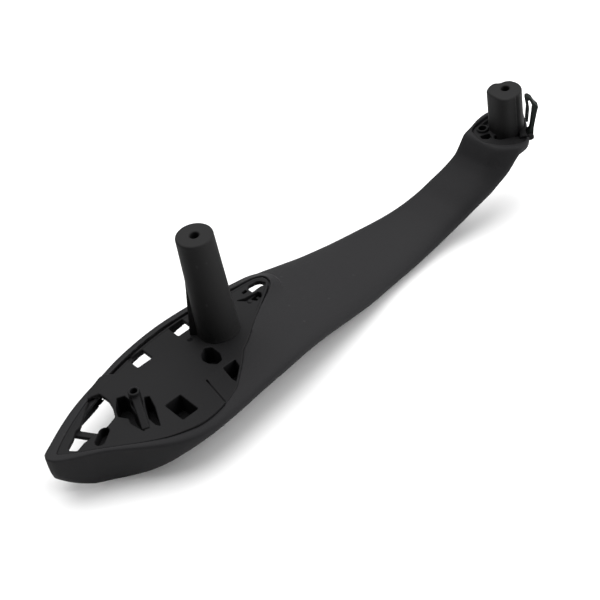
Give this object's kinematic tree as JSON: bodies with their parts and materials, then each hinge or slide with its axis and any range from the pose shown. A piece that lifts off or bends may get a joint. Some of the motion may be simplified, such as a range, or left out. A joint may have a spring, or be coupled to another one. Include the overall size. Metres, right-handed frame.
{
  "type": "car door pull handle",
  "caption": "Long moulded interior door pull handle: a curved grip with two screw towers, a locating boss and a sprung end clip on its door side.",
  "frame": {"origin": "centre of the lower tower's screw seat, the flat top face of the tall round tower", "axes": "+Z along the towers, out of the screw holes and into the door; +X from the boat-shaped end to the foot; +Y towards the inside of the grip's bend"},
  "size_m": [0.3394, 0.0808, 0.0908],
  "materials": {
    "shell": "fine grained, satin",
    "plate": "plain moulded, satin",
    "core": "plain moulded",
    "clip": "dark phosphated spring steel"
  },
  "bodies": {
    "handle": {"grip_shell": "shell", "carrier_plate": "plate", "lower_tower": "plate", "locating_boss": "plate", "side_latch": "plate", "core_beam": "core", "upper_frame": "plate", "upper_tower": "plate"},
    "clip": {"end_clip": "clip"}
  },
  "joints": [
    {"name": "clip_flex", "type": "hinge", "parent": "handle", "child": "clip", "pos_m": [0.2131, -0.0324, -0.0488], "axis": [0.6508, 0.7593, 0], "range_deg": [-6, 2], "stiffness_Nm_per_rad": 1.2}
  ]
}
